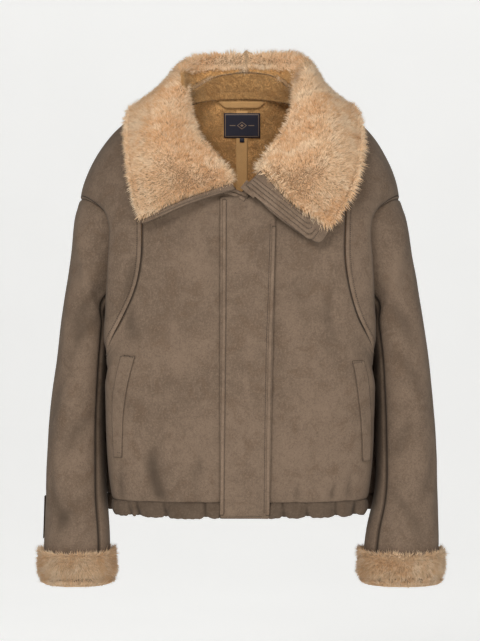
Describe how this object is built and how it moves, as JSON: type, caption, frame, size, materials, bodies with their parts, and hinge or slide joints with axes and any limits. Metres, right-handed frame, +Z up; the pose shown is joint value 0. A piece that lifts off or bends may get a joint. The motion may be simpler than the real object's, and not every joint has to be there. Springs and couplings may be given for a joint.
{
  "type": "jacket",
  "caption": "Short fleece-lined suede jacket with a big folded fur collar, wind flap, slanted pockets, gathered hem and turned-back fur cuffs.",
  "frame": {"origin": "Middle of the neck, level with the collar seam at the back, where the wearer's shoulders hold the jacket", "axes": "+X towards the wearer's left, +Y towards the back, so that the front faces -Y, and +Z up"},
  "size_m": [0.613, 0.2966, 0.8089],
  "materials": {
    "suede": "brown suede with a short uneven nap",
    "fur": "honey-coloured plush fur",
    "fleece": "shorn curly fleece",
    "tape": "woven tape",
    "label": "dark blue woven label with a plain border"
  },
  "bodies": {
    "root": {"front_centre_right": "suede", "front_centre_left": "suede", "front_side_right": "suede", "front_side_left": "suede", "back_right": "suede", "back_left": "suede", "hem_front_right": "suede", "hem_front_left": "suede", "hem_back": "suede", "sleeve_upper_right": "suede", "sleeve_upper_left": "suede", "sleeve_under_right": "suede", "sleeve_under_left": "suede", "placket": "suede", "cuff_right": "fur", "cuff_left": "fur", "collar_fur_right": "fur", "collar_fur_left": "fur", "collar_stand": "fleece", "collar_band_right": "suede", "collar_band_left": "suede", "pocket_welt_right": "suede", "pocket_welt_left": "suede", "sleeve_tab_right": "suede", "sleeve_tab_left": "suede", "hang_loop": "tape", "back_tape": "tape", "neck_label": "label", "size_tab": "label"}
  },
  "joints": []
}
